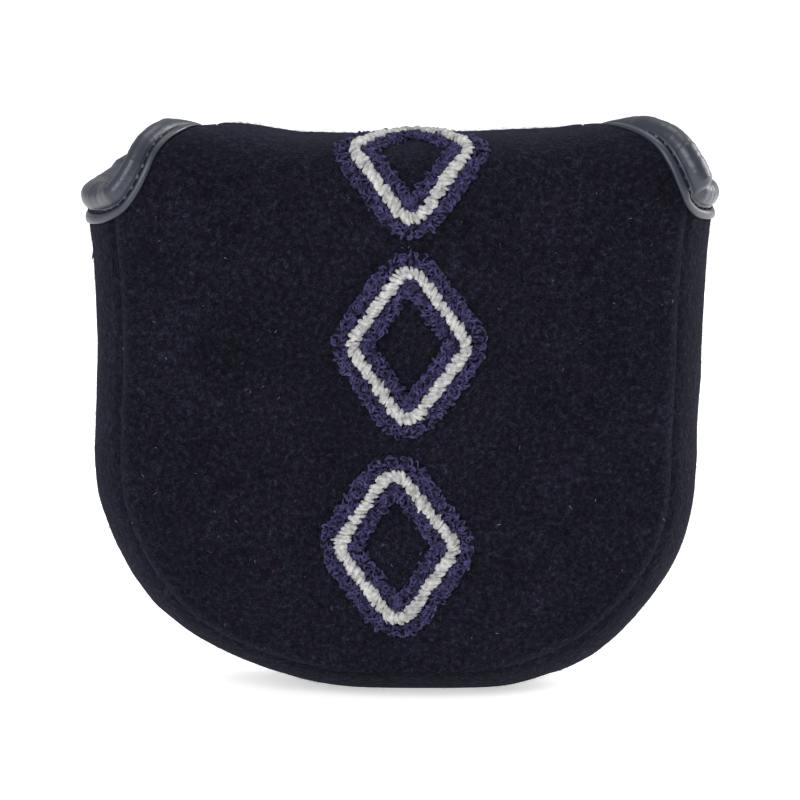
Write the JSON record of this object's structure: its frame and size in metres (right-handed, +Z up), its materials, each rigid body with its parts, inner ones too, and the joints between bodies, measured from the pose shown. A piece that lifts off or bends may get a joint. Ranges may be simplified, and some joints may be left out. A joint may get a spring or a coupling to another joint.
{
  "type": "putter head cover",
  "caption": "Padded felt cover for a mallet putter head, with leather bound shaft notches, a magnetic flap and chenille diamond motifs.",
  "frame": {"origin": "middle of the bounding box in plan, at the lowest level of the rounded bottom, where the cover rests", "axes": "+Z up towards the mouth, -Y out of the crown panel with the motifs, +X to the right as the crown panel is faced"},
  "size_m": [0.136, 0.0475, 0.1236],
  "materials": {
    "felt": "navy wool melton felt, mottled and matt",
    "leather": "dark navy smooth leather, satin, finely wrinkled at bends",
    "navy_yarn": "looped chenille yarn, matt",
    "white_yarn": "twisted chenille cord, matt",
    "lining": "short pile fleece, matt",
    "foam": "open cell padding, matt",
    "thread": "bonded sewing thread, slight sheen",
    "board": "plain stiffening sheet",
    "magnet": "nickel plated disc"
  },
  "bodies": {
    "pouch": {"crown_panel": "felt", "crown_foam": "foam", "crown_lining": "lining", "sole_panel": "felt", "sole_foam": "foam", "sole_lining": "lining", "gusset": "felt", "gusset_foam": "foam", "gusset_lining": "lining", "crown_seam_thread": "thread", "sole_seam_thread": "thread", "mouth_binding": "leather", "collar_left": "leather", "collar_right": "leather", "collar_core_left": "foam", "collar_core_right": "foam", "collar_stitches_left": "thread", "collar_stitches_right": "thread", "pouch_magnets": "magnet", "pouch_magnet_cups": "board", "motif_low_band": "navy_yarn", "motif_low_cord": "white_yarn", "motif_middle_band": "navy_yarn", "motif_middle_cord": "white_yarn", "motif_top_band": "navy_yarn", "motif_top_cord": "white_yarn"},
    "flap": {"flap_felt": "felt", "flap_board": "board", "flap_lining": "lining", "motif_fold_band": "navy_yarn", "motif_fold_cord": "white_yarn"},
    "tab": {"tab_felt": "felt", "tab_board": "board", "tab_lining": "lining", "tab_magnets": "magnet", "tab_stitches": "thread"}
  },
  "joints": [
    {"name": "flap_fold", "type": "hinge", "parent": "pouch", "child": "flap", "pos_m": [0, -0.0214, 0.115], "axis": [1, 0, 0], "range_deg": [0, 130]},
    {"name": "tab_fold", "type": "hinge", "parent": "flap", "child": "tab", "pos_m": [0, 0.0238, 0.115], "axis": [1, 0, 0], "range_deg": [0, 80]}
  ]
}
